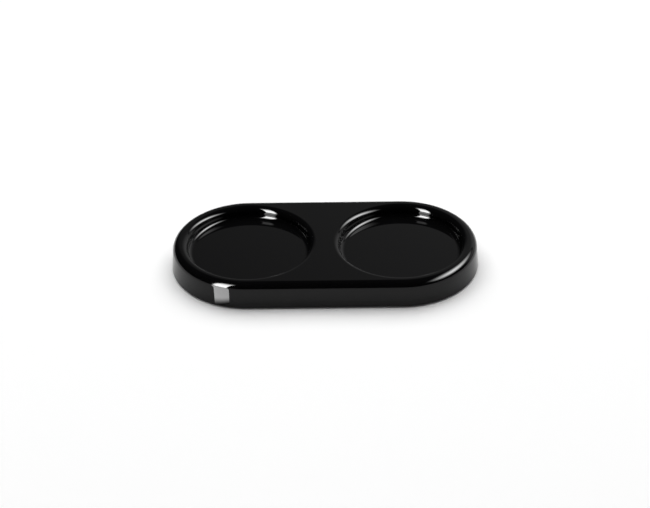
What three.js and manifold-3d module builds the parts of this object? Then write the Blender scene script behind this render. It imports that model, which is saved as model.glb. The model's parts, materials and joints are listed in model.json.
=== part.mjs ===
// A pepper mill tray: one gloss moulding with two round wells, standing on four non-slip pads.
// Millimetres, +Z up. X runs along the tray, and its front faces -Y.
// The origin is on the table, under the middle of the tray.

import * as THREE from 'three';
import { mergeVertices } from 'three/addons/utils/BufferGeometryUtils.js';
import Module from 'manifold-3d';

// Driving dimensions of the tray. The end radius is that of the outer wall's lower edge.
const wellSpacing = 87;
const endRadius = 44.5;
const bodyHeight = 15.4;
const wallDraft = THREE.MathUtils.degToRad(4.4);
const topRoll = 4.2;
const lowerEdgeRound = 0.5;
const wallThickness = 2.4;

// The two wells that the mills stand in
const floorRadius = 32.3;
const wellDepth = 6.8;
const floorFillet = 2.8;
const rimRoll = 3.4;
const wellDraft = THREE.MathUtils.degToRad(3);

// The grid of ribs that stiffens the hollow underside: bays from the middle of one well to the
// middle of the other, and how far the ribs stop short of the lower edge
const ribThickness = 1.8;
const ribBays = 6;
const ribRecess = 1;

// The non-slip pads, and the bosses that hold them. Their places are counted in bays of the ribs,
// outwards from the middle of each well and from the middle line of the tray.
const padRadius = 5;
const padThickness = 2;
const padProud = 0.6;
const padEdgeRound = 0.4;
const padClearance = 0.3;
const bossWall = 1.8;
const bossRootFillet = 1;
const padBaysOutwards = 0.5;
const padBaysAcross = 1.5;

// How far a cut runs past the face that it opens
const overrun = 1;

// How finely the round forms are faceted
const endSteps = 30;
const wellSteps = 64;
const plugSteps = 48;
const padSteps = 32;
const rollSteps = 5;
const hiddenRollSteps = 3;
const smallRoundSteps = 2;

// Places and heights that follow from the driving dimensions
const endCentre = wellSpacing / 2;
const landHeight = padProud + bodyHeight;
const floorHeight = landHeight - wellDepth;
const cupFoot = floorHeight - wallThickness;
const seatRadius = padRadius + padClearance;
const bossRadius = seatRadius + bossWall;
const ribPitch = wellSpacing / ribBays;
const quarterTurn = Math.PI / 2;
const halfTurn = Math.PI;

const wasm = await Module();
wasm.setup();

// A point of a profile: its distance from the axis, and its height
function at(distance, height) {
  return new THREE.Vector2(distance, height);
}

// An arc in a profile
function arc(centre, radius, from, to, steps) {
  const points = [];
  for (let i = 0; i <= steps; i += 1) {
    const angle = from + ((to - from) * i) / steps;
    points.push(at(centre.x + radius * Math.cos(angle), centre.y + radius * Math.sin(angle)));
  }
  return points;
}

// A profile turned round the vertical axis
function turned(profile, steps) {
  return new THREE.LatheGeometry(profile, steps).rotateX(quarterTurn);
}

// A profile carried round both ends of the tray and along its straight sides.
// It starts and ends on the line that joins the centres of the two ends.
function roundEnded(profile) {
  const columns = [];
  for (const side of [1, -1]) {
    for (let i = 0; i <= endSteps; i += 1) {
      columns.push({ middle: side * endCentre, angle: (i / endSteps) * halfTurn - side * quarterTurn });
    }
  }
  const corners = [];
  for (const { middle, angle } of columns) {
    for (const point of profile) {
      corners.push(middle + point.x * Math.cos(angle), point.x * Math.sin(angle), point.y);
    }
  }
  const faces = [];
  for (let column = 0; column < columns.length; column += 1) {
    const here = column * profile.length;
    const next = ((column + 1) % columns.length) * profile.length;
    for (let ring = 0; ring + 1 < profile.length; ring += 1) {
      faces.push(here + ring, next + ring, next + ring + 1);
      faces.push(here + ring, next + ring + 1, here + ring + 1);
    }
  }
  const geometry = new THREE.BufferGeometry();
  geometry.setAttribute('position', new THREE.Float32BufferAttribute(corners, 3));
  geometry.setIndex(faces);
  return geometry;
}

// A closed geometry as a solid that can be joined and cut
function solidOf(geometry) {
  const bare = geometry.clone();
  bare.deleteAttribute('normal');
  bare.deleteAttribute('uv');
  const merged = mergeVertices(bare);
  const corners = merged.index.array;
  const triangles = [];
  for (let i = 0; i < corners.length; i += 3) {
    const [a, b, c] = corners.slice(i, i + 3);
    if (a !== b && b !== c && c !== a) {
      triangles.push(a, b, c);
    }
  }
  const mesh = new wasm.Mesh({
    numProp: 3,
    vertProperties: new Float32Array(merged.attributes.position.array),
    triVerts: new Uint32Array(triangles),
  });
  return new wasm.Manifold(mesh);
}

// A solid as a geometry with flat facets
function geometryOf(solid) {
  const mesh = solid.getMesh();
  const geometry = new THREE.BufferGeometry();
  geometry.setAttribute('position', new THREE.Float32BufferAttribute(mesh.vertProperties, 3));
  geometry.setIndex(Array.from(mesh.triVerts));
  const faceted = geometry.toNonIndexed();
  faceted.computeVertexNormals();
  return faceted;
}

// The same solid at both ends of the tray
function atBothEnds(geometry) {
  const right = solidOf(geometry.clone().translate(endCentre, 0, 0));
  const left = solidOf(geometry.clone().translate(-endCentre, 0, 0));
  return right.add(left);
}

// The outer wall, from its lower edge up to where it has rolled over into the land.
// The inner face is the same wall set in by the wall thickness, so that the wall stays even.
function outerWall(setIn, foot, steps) {
  const lean = (height) => (height - padProud) * Math.tan(wallDraft) + setIn / Math.cos(wallDraft);
  const roll = topRoll - setIn;
  const rollHeight = landHeight - topRoll;
  const rollDistance = endRadius - lean(rollHeight) - roll / Math.cos(wallDraft);
  const top = arc(at(rollDistance, rollHeight), roll, wallDraft, quarterTurn, steps);
  return [at(endRadius - lean(foot), foot), ...top];
}

// The outside of the moulding, as if it were solid underneath, with its lower edge eased
function outsideProfile() {
  const easedHeight = padProud + lowerEdgeRound;
  const centre = at(outerWall(lowerEdgeRound, easedHeight, rollSteps)[0].x, easedHeight);
  const eased = arc(centre, lowerEdgeRound, -quarterTurn, wallDraft, smallRoundSteps);
  const top = outerWall(0, padProud, rollSteps).slice(1);
  return [at(0, padProud), ...eased, ...top, at(0, landHeight)];
}

// The space under the land, inside the outer wall
function hollowProfile() {
  const foot = padProud - overrun;
  const wall = outerWall(wallThickness, foot, hiddenRollSteps);
  return [at(0, foot), ...wall, at(0, landHeight - wallThickness)];
}

// The floor of a well, its fillet and its drafted side: its inside, or its outside a wall away
function cupProfile(wall, steps) {
  const centre = at(floorRadius, floorHeight + floorFillet);
  return [at(0, floorHeight - wall), ...arc(centre, floorFillet + wall, -quarterTurn, -wellDraft, steps)];
}

// Where the drafted side that starts at a profile's last point reaches a height
function upTheSide(profile, height) {
  const last = profile[profile.length - 1];
  return at(last.x + (height - last.y) * Math.tan(wellDraft), height);
}

// The round mouth of a well: its rim roll, which the drafted side runs up into
function mouthRoll(inside) {
  const rollFoot = upTheSide(inside, landHeight - rimRoll * (1 - Math.sin(wellDraft)));
  return at(rollFoot.x + rimRoll * Math.cos(wellDraft), landHeight - rimRoll);
}

// The space in a well, whose mouth rolls over into the land
function wellSpace() {
  const inside = cupProfile(0, rollSteps);
  const centre = mouthRoll(inside);
  const mouth = arc(centre, rimRoll, halfTurn - wellDraft, quarterTurn, rollSteps);
  const above = landHeight + overrun;
  return turned([...inside, ...mouth, at(centre.x, above), at(0, above)], wellSteps);
}

// A well and its walls as one plug, up into the land, a wall away from the well all the way
function wellPlug() {
  const outside = cupProfile(wallThickness, hiddenRollSteps);
  const centre = mouthRoll(cupProfile(0, rollSteps));
  const radius = Math.max(rimRoll - wallThickness, 0);
  const flare = arc(centre, radius, halfTurn - wellDraft, quarterTurn, smallRoundSteps);
  return turned([...outside, ...flare, at(centre.x, landHeight), at(0, landHeight)], plugSteps);
}

// Ribs of one direction, a bay apart, as far out as leaves at least half a bay to the wall
function ribRow(halfSpan, length, turn) {
  const foot = padProud + ribRecess;
  const height = landHeight - foot;
  const rib = new THREE.BoxGeometry(length, ribThickness, height).translate(0, 0, foot + height / 2);
  const count = Math.floor(halfSpan / ribPitch - 1 / 2);
  const row = [];
  for (let i = -count; i <= count; i += 1) {
    row.push(solidOf(rib.clone().translate(0, i * ribPitch, 0).rotateZ(turn)));
  }
  return row;
}

// The whole grid of ribs, up into the land
function ribs() {
  const halfLength = endCentre + endRadius;
  const across = ribRow(halfLength, endRadius * 2, quarterTurn);
  const along = ribRow(endRadius, halfLength * 2, 0);
  return [...across, ...along].reduce((all, rib) => all.add(rib));
}

// The four places of the pads, in bays of the ribs under each well
function padPlaces() {
  const places = [];
  for (const [endName, side] of [['left', -1], ['right', 1]]) {
    for (const [frontName, way] of [['front', -1], ['back', 1]]) {
      const x = side * (endCentre + padBaysOutwards * ribPitch);
      const y = way * padBaysAcross * ribPitch;
      places.push({ name: `foot_pad_${frontName}_${endName}`, x, y });
    }
  }
  return places;
}

// A boss under a well, level with the lower edge of the tray, with a filleted root
function bossGeometry() {
  const rootCentre = at(bossRadius + bossRootFillet, cupFoot - bossRootFillet);
  const root = arc(rootCentre, bossRootFillet, halfTurn, quarterTurn, smallRoundSteps);
  const inside = cupFoot + wallThickness / 2;
  const foot = [at(0, padProud), at(bossRadius, padProud)];
  return turned([...foot, ...root, at(rootCentre.x, inside), at(0, inside)], padSteps);
}

// The round seat in a boss
function seatGeometry() {
  const mouth = padProud - overrun;
  const side = [at(seatRadius, mouth), at(seatRadius, padThickness)];
  return turned([at(0, mouth), ...side, at(0, padThickness)], padSteps);
}

// A pad: a short round plug with eased edges and a flat foot
function padGeometry() {
  const eased = padRadius - padEdgeRound;
  const lower = arc(at(eased, padEdgeRound), padEdgeRound, -quarterTurn, 0, smallRoundSteps);
  const upper = arc(at(eased, padThickness - padEdgeRound), padEdgeRound, 0, quarterTurn, smallRoundSteps);
  return turned([at(0, 0), ...lower, ...upper, at(0, padThickness)], padSteps);
}

// The moulding: outside form, less the hollow underside, the wells and the pad seats
function trayBodyGeometry() {
  let hollow = solidOf(roundEnded(hollowProfile()));
  hollow = hollow.subtract(atBothEnds(wellPlug()));
  hollow = hollow.subtract(ribs());
  let body = solidOf(roundEnded(outsideProfile()));
  let seats = null;
  for (const { x, y } of padPlaces()) {
    hollow = hollow.subtract(solidOf(bossGeometry().translate(x, y, 0)));
    const seat = solidOf(seatGeometry().translate(x, y, 0));
    seats = seats === null ? seat : seats.add(seat);
  }
  body = body.subtract(hollow);
  body = body.subtract(atBothEnds(wellSpace()));
  body = body.subtract(seats);
  return geometryOf(body);
}

const glossBlack = new THREE.MeshStandardMaterial({ color: 0x09090a, roughness: 0.08, metalness: 0 });
const padRubber = new THREE.MeshStandardMaterial({ color: 0x1c1c1d, roughness: 0.85, metalness: 0 });

const millTray = new THREE.Group();

const trayBody = new THREE.Mesh(trayBodyGeometry(), glossBlack);
trayBody.name = 'tray_body';
millTray.add(trayBody);

for (const { name, x, y } of padPlaces()) {
  const pad = new THREE.Mesh(padGeometry(), padRubber);
  pad.name = name;
  pad.position.set(x, y, 0);
  millTray.add(pad);
}

export default millTray;
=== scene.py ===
"""A gloss moulded tray with two round wells for table mills, on four non-slip pads.

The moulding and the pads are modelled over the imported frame, given their finishes,
and set on a pale floor in soft studio light.
"""

import json
import math
from collections import namedtuple
from functools import cache

import bmesh
import bpy
from bpy.props import FloatProperty, FloatVectorProperty, IntProperty, PointerProperty
from mathutils import Matrix, Vector


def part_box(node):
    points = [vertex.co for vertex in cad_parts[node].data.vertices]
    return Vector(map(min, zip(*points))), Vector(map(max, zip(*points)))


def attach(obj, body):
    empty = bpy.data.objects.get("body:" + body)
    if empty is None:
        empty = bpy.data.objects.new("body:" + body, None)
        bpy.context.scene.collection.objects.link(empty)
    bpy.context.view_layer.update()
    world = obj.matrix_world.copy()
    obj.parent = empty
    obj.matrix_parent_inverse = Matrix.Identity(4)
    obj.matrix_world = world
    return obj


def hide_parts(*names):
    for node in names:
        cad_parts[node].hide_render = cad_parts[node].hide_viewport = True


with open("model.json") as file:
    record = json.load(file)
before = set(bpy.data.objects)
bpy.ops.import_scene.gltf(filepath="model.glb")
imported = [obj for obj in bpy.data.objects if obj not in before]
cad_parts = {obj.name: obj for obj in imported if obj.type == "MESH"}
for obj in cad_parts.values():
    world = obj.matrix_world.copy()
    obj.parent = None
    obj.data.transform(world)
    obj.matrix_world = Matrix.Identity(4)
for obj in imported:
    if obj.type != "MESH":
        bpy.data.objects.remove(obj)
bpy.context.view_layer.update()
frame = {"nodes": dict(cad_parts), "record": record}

bl_info = {
    "name": "Mill tray",
    "version": (1, 0, 0),
    "blender": (4, 5, 0),
    "location": "3D View > Sidebar > Mill tray",
    "description": "Models a gloss mill tray and its pads, and sets the stage for it",
    "category": "Object",
}

TRAY_NODE = "tray_body"
PAD_PREFIX = "foot_pad_"
WELL_FLOOR_MOUNT = "well_floor_right"

MILLIMETRE = 0.001
QUARTER = math.pi / 2
HALF = math.pi
FULL = 2 * math.pi
UP = Vector((0, 0, 1))
LEFT = Vector((-1, 0, 0))
SIDES = (1, -1)

# Vertices this close are welded, heights this close are the same, and a cut runs this far past the
# face that it opens
WELD = 0.002 * MILLIMETRE
SAME = 0.01 * MILLIMETRE
OVERRUN = 1 * MILLIMETRE


# Sizes that the frame gives
def mount_place(name):
    """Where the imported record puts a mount."""
    for mount in frame["record"]["mounts"]:
        if mount["name"] == name:
            return Vector(mount["pos_m"])
    raise RuntimeError("the packed record has no mount named " + name)


# Each end is a half circle about the middle of a well, so the wells are as far apart as the tray is
# longer than wide
TRAY_LOW, TRAY_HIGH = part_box(TRAY_NODE)
TRAY_LENGTH = TRAY_HIGH.x - TRAY_LOW.x
TRAY_WIDTH = TRAY_HIGH.y - TRAY_LOW.y
PAD_NODES = sorted(name for name in frame["nodes"] if name.startswith(PAD_PREFIX))
PAD_LOW, PAD_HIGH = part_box(PAD_NODES[0])


# Kinds of setting
def number(name, description, default, **more):
    """A setting that is a number, with its unit or its limits."""
    return FloatProperty(name=name, description=description, default=default, **more)


def metres(name, description, default):
    """A setting that is a length in metres."""
    return number(name, description, default, unit="LENGTH", subtype="DISTANCE", precision=5)


def millimetres(name, description, default):
    """A setting that is a length, with its default in millimetres."""
    return metres(name, description, default * MILLIMETRE)


def degrees(name, description, default):
    """A setting that is an angle, with its default in degrees."""
    return number(name, description, math.radians(default), unit="ROTATION", subtype="ANGLE")


def share(name, description, default):
    """A setting between nothing and all."""
    return number(name, description, default, min=0, max=1, subtype="FACTOR")


def count(name, description, default):
    """A setting that is a whole number."""
    return IntProperty(name=name, description=description, default=default, min=1)


def colour(name, description, default):
    """A setting that is a colour."""
    return FloatVectorProperty(
        name=name, description=description, default=default, min=0, max=1, subtype="COLOR"
    )


class TrayMouldingSettings(bpy.types.PropertyGroup):
    """Sizes of the moulding."""

    half_width: metres("Half width", "From the middle line to the widest place", TRAY_WIDTH / 2)
    well_spacing: metres("Well spacing", "Between the wells' middles", TRAY_LENGTH - TRAY_WIDTH)
    foot: metres("Lower edge", "Height of the wall's lower edge above the table", TRAY_LOW.z)
    land: metres("Land", "Height of the flat land above the table", TRAY_HIGH.z)
    wall_draft: degrees("Wall draft", "How far the outer wall leans in", 4.4)
    top_roll: millimetres("Top roll", "Radius by which the wall rolls over into the land", 4.2)
    edge_round: millimetres("Edge round", "Radius that eases the lower edge", 0.5)
    wall: millimetres("Wall thickness", "Thickness of the moulding", 2.4)
    well_floor: metres("Well floor", "Height of the wells' floors", mount_place(WELL_FLOOR_MOUNT).z)
    floor_radius: millimetres("Floor radius", "Radius of the flat floor of a well", 32.3)
    floor_fillet: millimetres("Floor fillet", "Radius between a well's floor and side", 2.8)
    rim_roll: millimetres("Rim roll", "Radius by which a well's side rolls over into the land", 3.4)
    well_draft: degrees("Well draft", "How far a well widens towards its mouth", 3)
    rib_thickness: millimetres("Rib thickness", "Thickness of the ribs underneath", 1.8)
    rib_bays: count("Rib bays", "Bays between the middles of the two wells", 6)
    rib_recess: millimetres("Rib recess", "How far the ribs stop short of the lower edge", 1)
    boss_wall: millimetres("Boss wall", "Wall round the seat of a pad", 1.8)
    boss_fillet: millimetres("Boss fillet", "Fillet at the root of a boss", 1)
    pad_clearance: millimetres("Pad clearance", "Room round a pad in its seat", 0.3)
    support: millimetres("Support", "Width of the flat ring beside each roll and fillet", 0.15)
    end_steps: count("End steps", "Steps in the half turn round an end", 96)
    well_steps: count("Well steps", "Steps in the full turn round a well", 192)
    roll_steps: count("Roll steps", "Steps in a roll or a fillet", 20)
    hidden_steps: count("Hidden steps", "Steps in a roll or a fillet underneath", 8)
    small_steps: count("Small steps", "Steps in an eased edge", 6)
    sharp_from: degrees("Sharp from", "Angle between faces from which their edge looks sharp", 28)


class TrayPadSettings(bpy.types.PropertyGroup):
    """Sizes of the non-slip pads."""

    radius: metres("Radius", "Radius of a pad", (PAD_HIGH.x - PAD_LOW.x) / 2)
    thickness: metres("Thickness", "Height of a pad", PAD_HIGH.z - PAD_LOW.z)
    edge_round: millimetres("Edge round", "Radius that eases the pad's edges", 0.4)
    groove_radius: millimetres("Groove radius", "Radius of the ring groove in the foot", 3.1)
    groove_width: millimetres("Groove width", "Width of the ring groove in the foot", 0.6)
    groove_depth: millimetres("Groove depth", "Depth of the ring groove in the foot", 0.25)
    steps: count("Steps", "Steps in the full turn round a pad", 96)
    edge_steps: count("Edge steps", "Steps in an eased edge", 5)
    sharp_from: degrees("Sharp from", "Angle between faces from which their edge looks sharp", 40)


class TrayFinishSettings(bpy.types.PropertyGroup):
    """Colours and surface of the moulding and the pads."""

    body_colour: colour("Body colour", "Colour of the gloss moulding", (0.0022, 0.0022, 0.0024))
    worn_colour: colour("Worn colour", "Colour of the worn lower edge", (0.0088, 0.0088, 0.0096))
    body_refraction: number("Body refraction", "Index of refraction of the gloss", 1.3, min=1)
    body_roughness: share("Body roughness", "Roughness of the clean gloss", 0.045)
    scuffed_roughness: share("Scuffed roughness", "Roughness where hands and mills rub", 0.16)
    smears: share("Smears", "How strongly wiped smears show", 0.5)
    hairlines: share("Hairlines", "How strongly hairline scratches show", 0.35)
    wear_band: millimetres("Wear band", "Height of the worn band along the lower edge", 1.1)
    waviness: millimetres("Waviness", "Depth of the slow waves in the gloss", 0.006)
    scratch_depth: millimetres("Scratch depth", "Depth of a hairline", 0.0008)
    pad_colour: colour("Pad colour", "Colour of the rubber", (0.035, 0.035, 0.036))
    pad_bloom: colour("Pad bloom", "Colour of the rubber's paler patches", (0.052, 0.052, 0.054))
    pad_roughness: share("Pad roughness", "Roughness of the rubber", 0.82)
    patch_roughness: share("Patch roughness", "Roughness of the rubber's paler patches", 0.92)
    pad_grain: millimetres("Pad grain", "Depth of the rubber's grain", 0.02)


class TrayStageSettings(bpy.types.PropertyGroup):
    """The floor, the studio light and the camera."""

    floor_colour: colour("Floor colour", "Colour of the floor", (0.96, 0.96, 0.96))
    floor_lift: share("Floor lift", "Light added where the floor is seen or mirrored", 0.04)
    floor_radius: metres("Floor radius", "Radius of the round floor", 15)
    floor_steps: count("Floor steps", "Sides of the round floor", 96)
    studio_colour: colour("Studio colour", "Colour of the dim studio", (0.01, 0.01, 0.01))
    lamp_distance: metres("Lamp distance", "From the tray to the overhead lamp", 4.8)
    lamp_tilt: degrees("Lamp tilt", "How far the overhead lamp stands back from upright", 26)
    lamp_width: metres("Lamp width", "Width of the overhead lamp", 8.7)
    lamp_depth: metres("Lamp depth", "Depth of the overhead lamp", 5.9)
    lamp_power: number("Lamp power", "Power of the overhead lamp", 450, min=0, unit="POWER")
    camera_distance: metres("Camera distance", "From the camera to what it looks at", 1.7337)
    camera_turn: degrees("Camera turn", "How far right of the front the camera stands", 0.59)
    camera_height: degrees("Camera height", "How far above level the camera stands", 34.21)
    camera_roll: degrees("Camera roll", "How far the camera is tilted", -0.99)
    look_at: FloatVectorProperty(
        name="Look at",
        description="The place in the middle of the picture",
        default=(-0.00012, 0.00941, 0.0006),
        unit="LENGTH",
        subtype="TRANSLATION",
        precision=5,
    )
    focal_length: number("Focal length", "Focal length of the lens", 166.15, min=1, unit="CAMERA")
    sensor_width: number("Sensor width", "Width of the camera's sensor", 36, min=1, unit="CAMERA")


# Selection and the starts of pieces
def deselect_all():
    """Nothing is selected, in object mode."""
    if bpy.context.object is not None and bpy.context.object.mode != "OBJECT":
        bpy.ops.object.mode_set(mode="OBJECT")
    bpy.ops.object.select_all(action="DESELECT")


def pick(*pieces):
    """Only these objects are selected, and the first is the active one."""
    deselect_all()
    for piece in pieces:
        piece.select_set(True)
    bpy.context.view_layer.objects.active = pieces[0]


def named(piece, name):
    """Give an object and its data a name."""
    piece.name = name
    piece.data.name = name
    return piece


def start_outline(name, place):
    """A new piece that is one selected vertex, left in edit mode."""
    deselect_all()
    bpy.ops.mesh.primitive_plane_add(size=MILLIMETRE, location=place)
    piece = named(bpy.context.object, name)
    bpy.ops.object.transform_apply(location=True, rotation=False, scale=False)
    bpy.ops.object.mode_set(mode="EDIT")
    bpy.ops.mesh.select_mode(type="VERT")
    bpy.ops.mesh.merge(type="CENTER")
    return piece


def draw_on(move):
    """Extrude what is selected by a move."""
    bpy.ops.mesh.extrude_region_move(TRANSFORM_OT_translate={"value": move})


def swing(centre, axis, angle, steps):
    """Spin what is selected counter-clockwise about an axis. The operator turns clockwise."""
    bpy.ops.mesh.spin(steps=steps, angle=-angle, center=centre, axis=axis)


def select_edges(piece, wanted):
    """In edit mode, select the edges that a test wants."""
    bpy.ops.mesh.select_mode(type="EDGE")
    bpy.ops.mesh.select_all(action="DESELECT")
    shape = bmesh.from_edit_mesh(piece.data)
    for edge in shape.edges:
        if wanted(edge):
            edge.select_set(True)
    bmesh.update_edit_mesh(piece.data)


def open_edge_at(height):
    """A test for the open edges at one height."""

    def wanted(edge):
        level = all(abs(corner.co.z - height) < SAME for corner in edge.verts)
        return level and len(edge.link_faces) == 1

    return wanted


def close_seams():
    """Merge the doubles of the whole piece that is being edited."""
    bpy.ops.mesh.select_mode(type="VERT")
    bpy.ops.mesh.select_all(action="SELECT")
    bpy.ops.mesh.remove_doubles(threshold=WELD)


def face_outwards():
    """Turn all the faces of a closed piece outwards, and leave edit mode."""
    bpy.ops.mesh.select_all(action="SELECT")
    bpy.ops.mesh.normals_make_consistent(inside=False)
    bpy.ops.object.mode_set(mode="OBJECT")


class Outline:
    """A profile that is drawn point by point, at a distance in front of an upright axis."""

    def __init__(self, name, axis_x, distance, height):
        self.axis_x = axis_x
        self.pen = (distance, height)
        self.piece = start_outline(name, self.place(distance, height))

    def place(self, distance, height):
        """A place of the profile, which lies in front of its axis."""
        return Vector((self.axis_x, -distance, height))

    def line(self, distance, height):
        """A straight run to a place."""
        draw_on(self.place(distance, height) - self.place(*self.pen))
        self.pen = (distance, height)

    def arc(self, centre, angle, steps):
        """A round run about a centre, counter-clockwise where distance is to the right."""
        swing(self.place(*centre), LEFT, angle, steps)
        reach = self.pen[0] - centre[0]
        rise = self.pen[1] - centre[1]
        across = reach * math.cos(angle) - rise * math.sin(angle)
        up = reach * math.sin(angle) + rise * math.cos(angle)
        self.pen = (centre[0] + across, centre[1] + up)

    def turn(self, steps):
        """Turn the profile all the way round its axis."""
        bpy.ops.mesh.select_all(action="SELECT")
        swing(self.place(0, 0), UP, FULL, steps)
        close_seams()
        return self.piece

    def carry_round(self, spacing, steps):
        """Carry the profile round both ends and along both straight sides."""
        bpy.ops.mesh.select_all(action="SELECT")
        for side in SIDES:
            swing((side * self.axis_x, 0, 0), UP, HALF, steps)
            draw_on((-side * spacing, 0, 0))
        close_seams()
        return self.piece


def fill_ring(piece, height):
    """Close the open edge at one height with a flat face."""
    select_edges(piece, open_edge_at(height))
    bpy.ops.mesh.edge_face_add()


def cut_out(piece, tool):
    """Cut a tool out of a piece, and delete the tool."""
    pick(piece)
    cut = piece.modifiers.new("Cut", "BOOLEAN")
    cut.operation = "DIFFERENCE"
    cut.solver = "EXACT"
    cut.object = tool
    bpy.ops.object.modifier_apply(modifier=cut.name)
    bpy.data.objects.remove(tool)


def copied(piece, move):
    """A copy of an object with its own mesh, moved."""
    pick(piece)
    bpy.ops.object.duplicate(linked=False)
    copy = bpy.context.object
    bpy.ops.transform.translate(value=move)
    bpy.ops.object.transform_apply(location=True, rotation=False, scale=False)
    return copy


def joined(pieces):
    """Several objects as one."""
    pick(*pieces)
    bpy.ops.object.join()
    return pieces[0]


def finish_mesh(piece, sharp_from):
    """Weld the slivers that cuts leave, smooth the shading up to an angle, and put the object
    at the origin with its place in its mesh.
    """
    pick(piece)
    bpy.ops.object.mode_set(mode="EDIT")
    close_seams()
    bpy.ops.object.mode_set(mode="OBJECT")
    bpy.ops.object.shade_smooth_by_angle(angle=sharp_from)
    bpy.ops.object.transform_apply(location=True, rotation=True, scale=True)
    return piece


# The moulding
def on_circle(centre, radius, angle):
    """The place of a profile on a circle, at an angle from the outward direction upwards."""
    return (centre[0] + radius * math.cos(angle), centre[1] + radius * math.sin(angle))


def end_radius(sizes):
    """Radius of the outer wall at the lower edge, before that edge is eased."""
    lean = math.tan(sizes.wall_draft) + 1 / math.cos(sizes.wall_draft) - 1
    return sizes.half_width + sizes.edge_round * lean


def wall_face(sizes, set_in, height):
    """Distance of the outer wall, or of its inner face, from the axis of an end."""
    lean = (height - sizes.foot) * math.tan(sizes.wall_draft)
    return end_radius(sizes) - lean - set_in / math.cos(sizes.wall_draft)


def roll_centre(sizes):
    """Centre of the roll between the outer wall and the land."""
    height = sizes.land - sizes.top_roll
    return (wall_face(sizes, sizes.top_roll, height), height)


def mouth_centre(sizes):
    """Centre of the roll round the mouth of a well."""
    height = sizes.land - sizes.rim_roll
    side_from = sizes.well_floor + sizes.floor_fillet * (1 - math.sin(sizes.well_draft))
    side_to = sizes.land - sizes.rim_roll * (1 - math.sin(sizes.well_draft))
    widening = (side_to - side_from) * math.tan(sizes.well_draft)
    rounds = (sizes.floor_fillet + sizes.rim_roll) * math.cos(sizes.well_draft)
    return (sizes.floor_radius + widening + rounds, height)


def outer_shell(sizes):
    """The outer wall, from its eased lower edge over the roll and onto the land."""
    eased_height = sizes.foot + sizes.edge_round
    eased = (wall_face(sizes, sizes.edge_round, eased_height), eased_height)
    centre = roll_centre(sizes)
    outline = Outline("gloss_tray", sizes.well_spacing / 2, eased[0], sizes.foot)
    outline.arc(eased, QUARTER + sizes.wall_draft, sizes.small_steps)
    outline.line(*on_circle(centre, sizes.top_roll, sizes.wall_draft))
    outline.arc(centre, QUARTER - sizes.wall_draft, sizes.roll_steps)
    outline.line(centre[0] - sizes.support, sizes.land)
    return outline.carry_round(sizes.well_spacing, sizes.end_steps)


def well_side(sizes, side):
    """One well: its floor, fillet and drafted side, and the roll of its mouth."""
    fillet = (sizes.floor_radius, sizes.well_floor + sizes.floor_fillet)
    mouth = mouth_centre(sizes)
    axis_x = side * sizes.well_spacing / 2
    outline = Outline("well", axis_x, sizes.floor_radius - sizes.support, sizes.well_floor)
    outline.line(sizes.floor_radius, sizes.well_floor)
    outline.arc(fillet, QUARTER - sizes.well_draft, sizes.roll_steps)
    outline.line(*on_circle(mouth, sizes.rim_roll, HALF - sizes.well_draft))
    outline.arc(mouth, sizes.well_draft - QUARTER, sizes.roll_steps)
    outline.line(mouth[0] + sizes.support, sizes.land)
    piece = outline.turn(sizes.well_steps)
    fill_ring(piece, sizes.well_floor)
    bpy.ops.object.mode_set(mode="OBJECT")
    return piece


def outer_form(sizes):
    """The outside of the moulding with its land and wells, closed flat underneath."""
    shell = outer_shell(sizes)
    fill_ring(shell, sizes.foot)
    bpy.ops.object.mode_set(mode="OBJECT")
    shell = joined([shell] + [well_side(sizes, side) for side in SIDES])
    bpy.ops.object.mode_set(mode="EDIT")
    select_edges(shell, open_edge_at(sizes.land))
    bpy.ops.mesh.fill(use_beauty=True)
    close_seams()
    face_outwards()
    return shell


def hollow_block(sizes):
    """The space under the land, inside the outer wall, as a solid."""
    foot = sizes.foot - OVERRUN
    roof = sizes.land - sizes.wall
    centre = roll_centre(sizes)
    roll = sizes.top_roll - sizes.wall
    outline = Outline("hollow", sizes.well_spacing / 2, wall_face(sizes, sizes.wall, foot), foot)
    outline.line(*on_circle(centre, roll, sizes.wall_draft))
    outline.arc(centre, QUARTER - sizes.wall_draft, sizes.hidden_steps)
    piece = outline.carry_round(sizes.well_spacing, sizes.end_steps)
    for height in (foot, roof):
        fill_ring(piece, height)
    face_outwards()
    return piece


def well_plug(sizes):
    """A well with its walls as a solid, up into the land, at the right end."""
    foot = sizes.well_floor - sizes.wall
    fillet = (sizes.floor_radius, sizes.well_floor + sizes.floor_fillet)
    mouth = mouth_centre(sizes)
    flare = max(sizes.rim_roll - sizes.wall, SAME)
    outline = Outline("plug", sizes.well_spacing / 2, sizes.floor_radius, foot)
    outline.arc(fillet, QUARTER - sizes.well_draft, sizes.hidden_steps)
    outline.line(*on_circle(mouth, flare, HALF - sizes.well_draft))
    outline.arc(mouth, sizes.well_draft - QUARTER, sizes.hidden_steps)
    outline.line(mouth[0], sizes.land)
    piece = outline.turn(sizes.well_steps)
    for height in (foot, sizes.land):
        fill_ring(piece, height)
    face_outwards()
    return piece


def rib_bars(sizes, half_span, half_length, along):
    """Ribs of one direction, a bay apart, as far out as leaves half a bay to the wall."""
    foot = sizes.foot + sizes.rib_recess
    bay = sizes.well_spacing / sizes.rib_bays
    outermost = math.floor((half_span - bay / 2) / bay)
    bars = []
    for step in range(-outermost, outermost + 1):
        if along:
            place = (0, step * bay, foot)
            size = (2 * half_length, sizes.rib_thickness, 1)
        else:
            place = (step * bay, 0, foot)
            size = (sizes.rib_thickness, 2 * half_length, 1)
        deselect_all()
        bpy.ops.mesh.primitive_plane_add(size=1, location=place)
        bar = named(bpy.context.object, "rib")
        bar.scale = size
        bpy.ops.object.transform_apply(location=True, rotation=False, scale=True)
        bpy.ops.object.mode_set(mode="EDIT")
        bpy.ops.mesh.select_all(action="SELECT")
        draw_on((0, 0, sizes.land - foot))
        face_outwards()
        bars.append(bar)
    return joined(bars)


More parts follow.
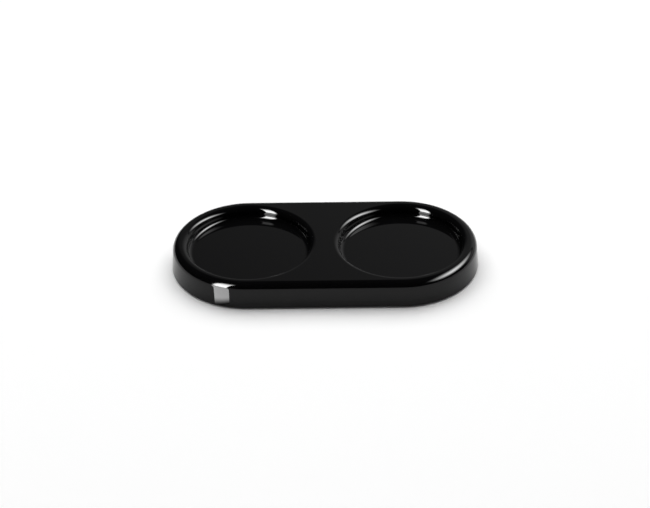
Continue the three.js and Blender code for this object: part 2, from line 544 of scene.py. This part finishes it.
def boss_block(sizes, pads, place):
    """A boss under a well, level with the lower edge, with a filleted root."""
    root = sizes.well_floor - sizes.wall
    top = root + sizes.wall / 2
    radius = pads.radius + sizes.pad_clearance + sizes.boss_wall
    root_radius = radius + sizes.boss_fillet
    outline = Outline("boss", place.x, radius, sizes.foot)
    outline.line(radius, root - sizes.boss_fillet)
    outline.arc((root_radius, root - sizes.boss_fillet), -QUARTER, sizes.small_steps)
    outline.line(root_radius, top)
    return round_block(outline, place, pads.steps, (sizes.foot, top))


def seat_block(sizes, pads, place):
    """The round seat of a pad as a solid."""
    radius = pads.radius + sizes.pad_clearance
    mouth = sizes.foot - OVERRUN
    outline = Outline("seat", place.x, radius, mouth)
    outline.line(radius, pads.thickness)
    return round_block(outline, place, pads.steps, (mouth, pads.thickness))


def round_block(outline, place, steps, heights):
    """A turned solid that is closed at two heights, moved to its place off the middle line."""
    piece = outline.turn(steps)
    for height in heights:
        fill_ring(piece, height)
    face_outwards()
    bpy.ops.transform.translate(value=(0, place.y, 0))
    bpy.ops.object.transform_apply(location=True, rotation=False, scale=False)
    return piece


def pad_places():
    """The middle of each pad of the frame, by the name of its node."""
    places = {}
    for name in PAD_NODES:
        low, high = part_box(name)
        places[name] = (low + high) / 2
    return places


def hollow_underside(sizes, pads):
    """The hollow underneath, less the wells, the ribs and the bosses."""
    hollow = hollow_block(sizes)
    right = well_plug(sizes)
    left = copied(right, (-sizes.well_spacing, 0, 0))
    for plug in (right, left):
        cut_out(hollow, plug)
    half_length = sizes.well_spacing / 2 + sizes.half_width
    cut_out(hollow, rib_bars(sizes, half_length, sizes.half_width, along=False))
    cut_out(hollow, rib_bars(sizes, sizes.half_width, half_length, along=True))
    for place in pad_places().values():
        cut_out(hollow, boss_block(sizes, pads, place))
    return hollow


def finished_moulding(sizes, pads):
    """The whole moulding: outside form, hollow underside and pad seats."""
    moulding = outer_form(sizes)
    cut_out(moulding, hollow_underside(sizes, pads))
    for place in pad_places().values():
        cut_out(moulding, seat_block(sizes, pads, place))
    return finish_mesh(moulding, sizes.sharp_from)


def finished_pad(pads, name, place):
    """One non-slip pad: a turned plug with eased edges and a ring groove in its foot."""
    eased = pads.radius - pads.edge_round
    shoulder = pads.thickness - pads.edge_round
    groove_from = pads.groove_radius - pads.groove_width / 2
    groove_to = pads.groove_radius + pads.groove_width / 2
    # The outline starts half way out to the groove, because a flat face closes the middle
    outline = Outline(name, place.x, groove_from / 2, 0)
    outline.line(groove_from, 0)
    outline.line(groove_from, pads.groove_depth)
    outline.line(groove_to, pads.groove_depth)
    outline.line(groove_to, 0)
    outline.line(eased, 0)
    outline.arc((eased, pads.edge_round), QUARTER, pads.edge_steps)
    outline.line(pads.radius, shoulder)
    outline.arc((eased, shoulder), QUARTER, pads.edge_steps)
    piece = round_block(outline, place, pads.steps, (0, pads.thickness))
    return finish_mesh(piece, pads.sharp_from)


# Shader nodes lie on a grid of columns and rows, which starts with what is read and ends with what
# is put out
COLUMN_WIDTH = 200
ROW_HEIGHT = 180
FIRST_COLUMN = -5
GROUP_COLUMN = -3
LAST_COLUMN = 5


def new_group(name, inputs, outputs):
    """A shader node group with its input and output nodes. Where an input's default is None, the
    input is a vector.
    """
    tree = bpy.data.node_groups.new(name, "ShaderNodeTree")
    for label, default in inputs.items():
        kind = "NodeSocketVector" if default is None else "NodeSocketFloat"
        socket = tree.interface.new_socket(label, in_out="INPUT", socket_type=kind)
        if default is not None:
            socket.default_value = default
    for label in outputs:
        tree.interface.new_socket(label, in_out="OUTPUT", socket_type="NodeSocketFloat")
    start = node(tree, "NodeGroupInput", FIRST_COLUMN, 0)
    end = node(tree, "NodeGroupOutput", LAST_COLUMN, 0)
    return tree, start, end


def node(tree, kind, column, row, inputs=None, **settings):
    """A node at a place in the grid. Its inputs are values or the outputs of other nodes."""
    made = tree.nodes.new(kind)
    made.location = (column * COLUMN_WIDTH, -row * ROW_HEIGHT)
    for name, value in settings.items():
        setattr(made, name, value)
    for name, value in (inputs or {}).items():
        if isinstance(value, bpy.types.NodeSocket):
            tree.links.new(value, made.inputs[name])
        else:
            made.inputs[name].default_value = value
    return made


def maths(tree, operation, column, row, *values):
    """A Math node, whose inputs have no names of their own."""
    inputs = dict(enumerate(values))
    return node(tree, "ShaderNodeMath", column, row, inputs, operation=operation).outputs["Value"]


def noise(tree, column, row, vector, scale, detail, roughness=0.5):
    """A Noise Texture read at a vector."""
    inputs = {"Vector": vector, "Scale": scale, "Detail": detail, "Roughness": roughness}
    return node(tree, "ShaderNodeTexNoise", column, row, inputs).outputs["Fac"]


def spread(tree, column, row, value, low, high, to_low=0, to_high=1):
    """Map a range of values onto another, smoothly and held at its ends."""
    inputs = {
        "Value": value,
        "From Min": low,
        "From Max": high,
        "To Min": to_low,
        "To Max": to_high,
    }
    made = node(tree, "ShaderNodeMapRange", column, row, inputs, interpolation_type="SMOOTHSTEP")
    return made.outputs["Result"]


def stretched(tree, column, row, vector, scale, turn):
    """The vector turned and stretched by a Mapping node."""
    inputs = {"Vector": vector, "Scale": scale, "Rotation": (0, 0, turn)}
    return node(tree, "ShaderNodeMapping", column, row, inputs).outputs["Vector"]


# Patterns. Waves are per metre, turns are angles about the upright, and a mark goes from nothing to
# full as the noise goes through its range.
WANDER_WAVES = 90
PEEL_WAVES = 420
PEEL_SHARE = 0.12
SMEAR_WAVES = (38, 95, 60)
SMEAR_TURN = 0.5
SMEAR_RANGE = (0.52, 0.78)
HAIRLINE_TURNS = (0.35, 1.9, 2.7)
HAIRLINE_WAVES = (22, 1000, 1000)
HAIRLINE_RANGE = (0.74, 0.8)
CHIP_WAVES = 700
CHIP_RANGE = (0.42, 0.66)
GRAIN_WAVES = 2400
GRAIN_COARSENESS = 0.6
PATCH_WAVES = 160
PATCH_RANGE = (0.3, 0.7)


@cache
def waviness_group():
    """The slow waviness that a moulded surface has: a height that wanders over some millimetres."""
    tree, start, end = new_group(
        "Moulded waviness", {"Vector": None, "Wander": WANDER_WAVES, "Peel": PEEL_WAVES}, ["Height"]
    )
    slow = noise(tree, -2, 0, start.outputs["Vector"], start.outputs["Wander"], detail=1)
    fine = noise(tree, -2, 2, start.outputs["Vector"], start.outputs["Peel"], detail=1)
    height = maths(tree, "MULTIPLY_ADD", 0, 0, fine, PEEL_SHARE, slow)
    tree.links.new(height, end.inputs["Height"])
    return tree


@cache
def handling_group():
    """Faint marks of use: wiped smears, and hairlines that lie many ways."""
    tree, start, end = new_group(
        "Handling marks", {"Vector": None, "Smears": 1, "Hairlines": 1}, ["Mask", "Scratch"]
    )
    vector = start.outputs["Vector"]
    wiped = stretched(tree, -3, 0, vector, SMEAR_WAVES, SMEAR_TURN)
    smears = spread(tree, -1, 0, noise(tree, -2, 0, wiped, 1, detail=4), *SMEAR_RANGE)
    lines = None
    for row, turn in enumerate(HAIRLINE_TURNS, start=2):
        drawn_out = stretched(tree, -3, row, vector, HAIRLINE_WAVES, turn)
        thin = spread(tree, -1, row, noise(tree, -2, row, drawn_out, 1, detail=1), *HAIRLINE_RANGE)
        lines = thin if lines is None else maths(tree, "MAXIMUM", 0, row, lines, thin)
    smears = maths(tree, "MULTIPLY", 1, 0, smears, start.outputs["Smears"])
    lines = maths(tree, "MULTIPLY", 1, 2, lines, start.outputs["Hairlines"])
    mask = maths(tree, "MAXIMUM", 2, 0, smears, lines)
    tree.links.new(mask, end.inputs["Mask"])
    tree.links.new(lines, end.inputs["Scratch"])
    return tree


@cache
def edge_wear_group():
    """A mask for the band of wear along a lower edge, broken up by noise."""
    tree, start, end = new_group(
        "Lower edge wear", {"Vector": None, "Height": MILLIMETRE, "Band": MILLIMETRE}, ["Mask"]
    )
    parts = node(tree, "ShaderNodeSeparateXYZ", -3, 0, {"Vector": start.outputs["Vector"]})
    above = maths(tree, "SUBTRACT", -2, 0, parts.outputs["Z"], start.outputs["Height"])
    way_up = maths(tree, "DIVIDE", -1, 0, above, start.outputs["Band"])
    band = spread(tree, 0, 0, way_up, 0, 1, to_low=1, to_high=0)
    chips = noise(tree, -1, 2, start.outputs["Vector"], CHIP_WAVES, detail=5)
    mask = maths(tree, "MULTIPLY", 1, 0, band, spread(tree, 0, 2, chips, *CHIP_RANGE))
    tree.links.new(mask, end.inputs["Mask"])
    return tree


@cache
def grain_group():
    """A fine even grain with slow patches, as on rubber."""
    tree, start, end = new_group(
        "Fine grain", {"Vector": None, "Scale": GRAIN_WAVES}, ["Height", "Mask"]
    )
    vector = start.outputs["Vector"]
    grain = noise(tree, -1, 0, vector, start.outputs["Scale"], detail=3, roughness=GRAIN_COARSENESS)
    patches = noise(tree, -1, 2, vector, PATCH_WAVES, detail=3)
    tree.links.new(grain, end.inputs["Height"])
    tree.links.new(spread(tree, 0, 2, patches, *PATCH_RANGE), end.inputs["Mask"])
    return tree


def new_material(name):
    """A material and its empty node tree."""
    material = bpy.data.materials.new(name)
    material.use_nodes = True
    material.node_tree.nodes.clear()
    return material, material.node_tree


def coordinates(tree, row, kind):
    """The vector by which a pattern finds its place."""
    return node(tree, "ShaderNodeTexCoord", FIRST_COLUMN, row).outputs[kind]


def placed_group(tree, group, row, **values):
    """The outputs of a node group with its own values, read at a piece's own coordinates."""
    inputs = {"Vector": coordinates(tree, row, "Object"), **values}
    return node(tree, "ShaderNodeGroup", GROUP_COLUMN, row, inputs, node_tree=group).outputs


def mixed_colour(tree, column, row, mask, first, second):
    """The first colour where a mask is nothing, and the second where it is full."""
    inputs = {"Factor": mask, "A": (*first, 1), "B": (*second, 1)}
    return node(tree, "ShaderNodeMix", column, row, inputs, data_type="RGBA").outputs["Result"]


def relief(tree, column, row, height, depth, normal=None, invert=False):
    """A Bump node of a real depth, on top of another normal if there is one."""
    inputs = {"Strength": 1, "Distance": depth, "Height": height}
    if normal is not None:
        inputs["Normal"] = normal
    return node(tree, "ShaderNodeBump", column, row, inputs, invert=invert).outputs["Normal"]


def set_surface(tree, kind, inputs):
    """Make a shader with these inputs the surface of a material."""
    shader = node(tree, kind, LAST_COLUMN, 0, inputs)
    node(tree, "ShaderNodeOutputMaterial", LAST_COLUMN + 2, 0, {"Surface": shader.outputs[0]})


def gloss_material(finish, sizes):
    """Gloss black moulded plastic, slightly wavy, with faint marks of use and a worn lower edge."""
    material, tree = new_material("gloss_black_moulding")
    marks = placed_group(
        tree, handling_group(), 0, Smears=finish.smears, Hairlines=finish.hairlines
    )
    wear = placed_group(tree, edge_wear_group(), 1, Height=sizes.foot, Band=finish.wear_band)
    waves = placed_group(tree, waviness_group(), 3)
    used = maths(tree, "MAXIMUM", -1, 0, marks["Mask"], wear["Mask"])
    base = mixed_colour(tree, 1, 0, wear["Mask"], finish.body_colour, finish.worn_colour)
    roughness = spread(tree, 1, 1, used, 0, 1, finish.body_roughness, finish.scuffed_roughness)
    waved = relief(tree, 1, 3, waves["Height"], finish.waviness)
    scratched = relief(tree, 2, 3, marks["Scratch"], finish.scratch_depth, waved, invert=True)
    inputs = {
        "Base Color": base,
        "Roughness": roughness,
        "IOR": finish.body_refraction,
        "Normal": scratched,
    }
    set_surface(tree, "ShaderNodeBsdfPrincipled", inputs)
    return material


def rubber_material(finish):
    """Dull dark rubber with a fine grain and a slightly uneven tone."""
    material, tree = new_material("non_slip_rubber")
    grain = placed_group(tree, grain_group(), 0)
    base = mixed_colour(tree, 1, 0, grain["Mask"], finish.pad_colour, finish.pad_bloom)
    roughness = spread(
        tree, 1, 1, grain["Mask"], 0, 1, finish.pad_roughness, finish.patch_roughness
    )
    grained = relief(tree, 2, 2, grain["Height"], finish.pad_grain)
    inputs = {"Base Color": base, "Roughness": roughness, "Normal": grained}
    set_surface(tree, "ShaderNodeBsdfPrincipled", inputs)
    return material


def dress(piece, material, slot, *nodes):
    """Give a piece its finish and its body, and hide the nodes that it stands for."""
    piece.data.materials.clear()
    piece.data.materials.append(material)
    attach(piece, "root")
    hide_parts(*nodes)


class TRAY_OT_model_moulding(bpy.types.Operator):
    """Model the gloss moulding with its wells, ribs and bosses"""

    bl_idname = "tray.model_moulding"
    bl_label = "Model the moulding"

    def execute(self, context):
        scene = context.scene
        moulding = finished_moulding(scene.tray_moulding, scene.tray_pads)
        material = gloss_material(scene.tray_finish, scene.tray_moulding)
        dress(moulding, material, "gloss_body", TRAY_NODE)
        return {"FINISHED"}


class TRAY_OT_model_pads(bpy.types.Operator):
    """Model the four non-slip pads in their seats"""

    bl_idname = "tray.model_pads"
    bl_label = "Model the pads"

    def execute(self, context):
        scene = context.scene
        material = rubber_material(scene.tray_finish)
        for pad_node, place in pad_places().items():
            name = pad_node.replace(PAD_PREFIX, "non_slip_pad_")
            pad = finished_pad(scene.tray_pads, name, place)
            dress(pad, material, "pad_rubber", pad_node)
        return {"FINISHED"}


# The stage
def seen_or_mirrored(tree, column, row):
    """One for camera, glossy and transmission rays, and nothing for the rest."""
    rays = node(tree, "ShaderNodeLightPath", column, row).outputs
    seen = maths(tree, "MAXIMUM", column + 1, row, rays["Is Camera Ray"], rays["Is Glossy Ray"])
    return maths(tree, "MAXIMUM", column + 2, row, seen, rays["Is Transmission Ray"])


def floor_material(stage):
    """The pale floor, with a little light added where it is seen or mirrored, to look white."""
    material, tree = new_material("pale_floor")
    strength = maths(tree, "MULTIPLY", 0, 1, seen_or_mirrored(tree, -3, 1), stage.floor_lift)
    diffuse = node(tree, "ShaderNodeBsdfDiffuse", 1, 0, {"Color": (*stage.floor_colour, 1)})
    lift = node(tree, "ShaderNodeEmission", 1, 1, {"Strength": strength})
    both = {0: diffuse.outputs["BSDF"], 1: lift.outputs["Emission"]}
    set_surface(tree, "ShaderNodeAddShader", both)
    return material


def make_floor(stage):
    """A wide round floor at table height."""
    deselect_all()
    bpy.ops.mesh.primitive_circle_add(
        vertices=stage.floor_steps, radius=stage.floor_radius, fill_type="NGON", location=(0, 0, 0)
    )
    floor = named(bpy.context.object, "floor")
    floor.data.materials.append(floor_material(stage))


def make_world(stage):
    """A dim, even studio."""
    world = bpy.data.worlds.new("studio")
    world.use_nodes = True
    background = world.node_tree.nodes["Background"]
    background.inputs["Color"].default_value = (*stage.studio_colour, 1)
    background.inputs["Strength"].default_value = 1
    bpy.context.scene.world = world


def panel_material(panel):
    """A glow that fades towards the edges of a panel, and that only shows from the panel's +Z."""
    material, tree = new_material(panel.name)
    parts = node(tree, "ShaderNodeSeparateXYZ", -4, 0, {"Vector": coordinates(tree, 0, "UV")})
    geometry = node(tree, "ShaderNodeNewGeometry", -1, 4)
    glow = maths(tree, "SUBTRACT", 0, 4, 1, geometry.outputs["Backfacing"])
    fades = (
        ("X", 0, panel.left),
        ("X", 1, 1 - panel.right),
        ("Y", 0, panel.bottom),
        ("Y", 1, 1 - panel.top),
    )
    for row, (axis, edge, full) in enumerate(fades):
        if edge != full:
            fade = spread(tree, -1, row, parts.outputs[axis], edge, full)
            glow = maths(tree, "MULTIPLY", 1, row, glow, fade)
    strength = maths(tree, "MULTIPLY", 2, 1, glow, panel.strength)
    set_surface(tree, "ShaderNodeEmission", {"Strength": strength})
    return material


def direction(azimuth, elevation):
    """A level direction turned from the back towards the right, then raised. Both are angles."""
    level = math.cos(elevation)
    return Vector((math.sin(azimuth) * level, math.cos(azimuth) * level, math.sin(elevation)))


def facing(place, ahead, upright=UP):
    """The matrix of a thing at a place, with its +Z ahead and its +Y as upright as it can be."""
    across = upright.cross(ahead).normalized()
    over = ahead.cross(across)
    turn = Matrix((across, over, ahead)).transposed().to_4x4()
    return Matrix.Translation(place) @ turn


# A soft panel: the place of its middle in metres, the azimuth and elevation that its back faces in
# degrees, its size, its light where 1 is white, the share of its size over which the light fades at
# each edge, and the width of its lower edge as a share of the upper one
SoftPanel = namedtuple(
    "SoftPanel",
    "name place azimuth elevation width height strength left right bottom top foot_share",
    defaults=(0, 0, 0, 0, 1),
)
STRAIGHT_DOWN = -90

SOFT_PANELS = (
    # Stands at the front left and leans over the tray
    SoftPanel(
        "front_left_panel",
        place=(-0.402, -0.426, 0.459),
        azimuth=-136.7,
        elevation=11.7,
        width=0.25,
        height=0.94,
        strength=58,
        left=0.04,
        right=0.28,
        top=0.72,
    ),
    # Painted light: a glowing card seen only in the gloss, in place of the first panel's light
    # mirrored in the table
    # Lies on the floor and opens like a fan away from the tray, as the first panel's light would
    SoftPanel(
        "painted_floor_light",
        place=(-0.110, -0.099, 0.0003),
        azimuth=-137.5,
        elevation=STRAIGHT_DOWN,
        width=0.075,
        height=0.15,
        strength=17,
        bottom=0.06,
        top=0.05,
        foot_share=0.12,
    ),
    # Hangs over the right end
    SoftPanel(
        "right_panel",
        place=(0.46, -0.035, 0.377),
        azimuth=77.7,
        elevation=53.9,
        width=1.04,
        height=0.43,
        strength=53,
        left=0.53,
        right=0.72,
        bottom=0.73,
        top=0.54,
    ),
    # A wide and dim backdrop, whose lower part the floor hides
    SoftPanel(
        "back_panel",
        place=(0.56, 1.31, 0.47),
        azimuth=23,
        elevation=18,
        width=4.2,
        height=2.3,
        strength=3.1,
        left=1,
        right=0.42,
        bottom=0.96,
        top=0.82,
    ),
)


def make_panel(panel):
    """A soft studio panel that only shows in the gloss."""
    azimuth = math.radians(panel.azimuth)
    ahead = -direction(azimuth, math.radians(panel.elevation))
    upright = direction(azimuth, 0) if panel.elevation == STRAIGHT_DOWN else UP
    deselect_all()
    bpy.ops.mesh.primitive_plane_add(size=1, location=(0, 0, 0))
    glowing = named(bpy.context.object, panel.name)
    bpy.ops.object.mode_set(mode="EDIT")
    select_edges(glowing, lambda edge: all(corner.co.y < 0 for corner in edge.verts))
    bpy.ops.transform.resize(value=(panel.foot_share, 1, 1))
    bpy.ops.object.mode_set(mode="OBJECT")
    size = Matrix.Diagonal((panel.width, panel.height, 1, 1))
    glowing.matrix_world = facing(Vector(panel.place), ahead, upright) @ size
    glowing.data.materials.append(panel_material(panel))
    glowing.visible_camera = False
    glowing.visible_diffuse = False
    glowing.visible_shadow = False


def make_overhead(stage):
    """The wide soft lamp overhead that lights the floor. It shines along its own -Z."""
    back = direction(0, QUARTER - stage.lamp_tilt)
    place = back * stage.lamp_distance
    deselect_all()
    bpy.ops.object.light_add(type="AREA", location=place)
    lamp = named(bpy.context.object, "overhead_softbox")
    lamp.data.shape = "RECTANGLE"
    lamp.data.size = stage.lamp_width
    lamp.data.size_y = stage.lamp_depth
    lamp.data.energy = stage.lamp_power
    lamp.matrix_world = facing(place, back)
    lamp.visible_glossy = False
    lamp.visible_camera = False


def make_camera(stage):
    """The camera, where the photograph was taken from. It looks along its own -Z."""
    back = direction(HALF - stage.camera_turn, stage.camera_height)
    place = Vector(stage.look_at) + back * stage.camera_distance
    deselect_all()
    bpy.ops.object.camera_add()
    camera = named(bpy.context.object, "camera")
    camera.matrix_world = facing(place, back) @ Matrix.Rotation(stage.camera_roll, 4, "Z")
    camera.data.lens = stage.focal_length
    camera.data.sensor_width = stage.sensor_width
    bpy.context.scene.camera = camera


class TRAY_OT_set_stage(bpy.types.Operator):
    """Set the floor, the studio light and the camera"""

    bl_idname = "tray.set_stage"
    bl_label = "Set the stage"

    def execute(self, context):
        stage = context.scene.tray_stage
        make_camera(stage)
        make_floor(stage)
        make_world(stage)
        make_overhead(stage)
        for panel in SOFT_PANELS:
            make_panel(panel)
        context.scene.view_settings.view_transform = "Standard"
        return {"FINISHED"}


class TRAY_PT_panel(bpy.types.Panel):
    """The sizes, finishes and steps of the tray"""

    bl_idname = "TRAY_PT_panel"
    bl_label = "Mill tray"
    bl_space_type = "VIEW_3D"
    bl_region_type = "UI"
    bl_category = "Mill tray"

    def draw(self, context):
        scene = context.scene
        for title, settings, operator in (
            ("Moulding", scene.tray_moulding, TRAY_OT_model_moulding),
            ("Pads", scene.tray_pads, TRAY_OT_model_pads),
            ("Finish", scene.tray_finish, None),
            ("Stage", scene.tray_stage, TRAY_OT_set_stage),
        ):
            box = self.layout.box()
            box.label(text=title)
            for name in settings.bl_rna.properties.keys():
                if name not in ("rna_type", "name"):
                    box.prop(settings, name)
            if operator is not None:
                box.operator(operator.bl_idname)


CLASSES = (
    TrayMouldingSettings,
    TrayPadSettings,
    TrayFinishSettings,
    TrayStageSettings,
    TRAY_OT_model_moulding,
    TRAY_OT_model_pads,
    TRAY_OT_set_stage,
    TRAY_PT_panel,
)


def register():
    """Register the classes and put the settings on the scene."""
    for each in CLASSES:
        bpy.utils.register_class(each)
    bpy.types.Scene.tray_moulding = PointerProperty(type=TrayMouldingSettings)
    bpy.types.Scene.tray_pads = PointerProperty(type=TrayPadSettings)
    bpy.types.Scene.tray_finish = PointerProperty(type=TrayFinishSettings)
    bpy.types.Scene.tray_stage = PointerProperty(type=TrayStageSettings)


def unregister():
    """Take the settings off the scene and unregister the classes."""
    for name in ("tray_moulding", "tray_pads", "tray_finish", "tray_stage"):
        delattr(bpy.types.Scene, name)
    for each in reversed(CLASSES):
        bpy.utils.unregister_class(each)


def main():
    """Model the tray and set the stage."""
    register()
    bpy.ops.tray.set_stage()
    bpy.ops.tray.model_moulding()
    bpy.ops.tray.model_pads()


if __name__ == "__main__":
    main()
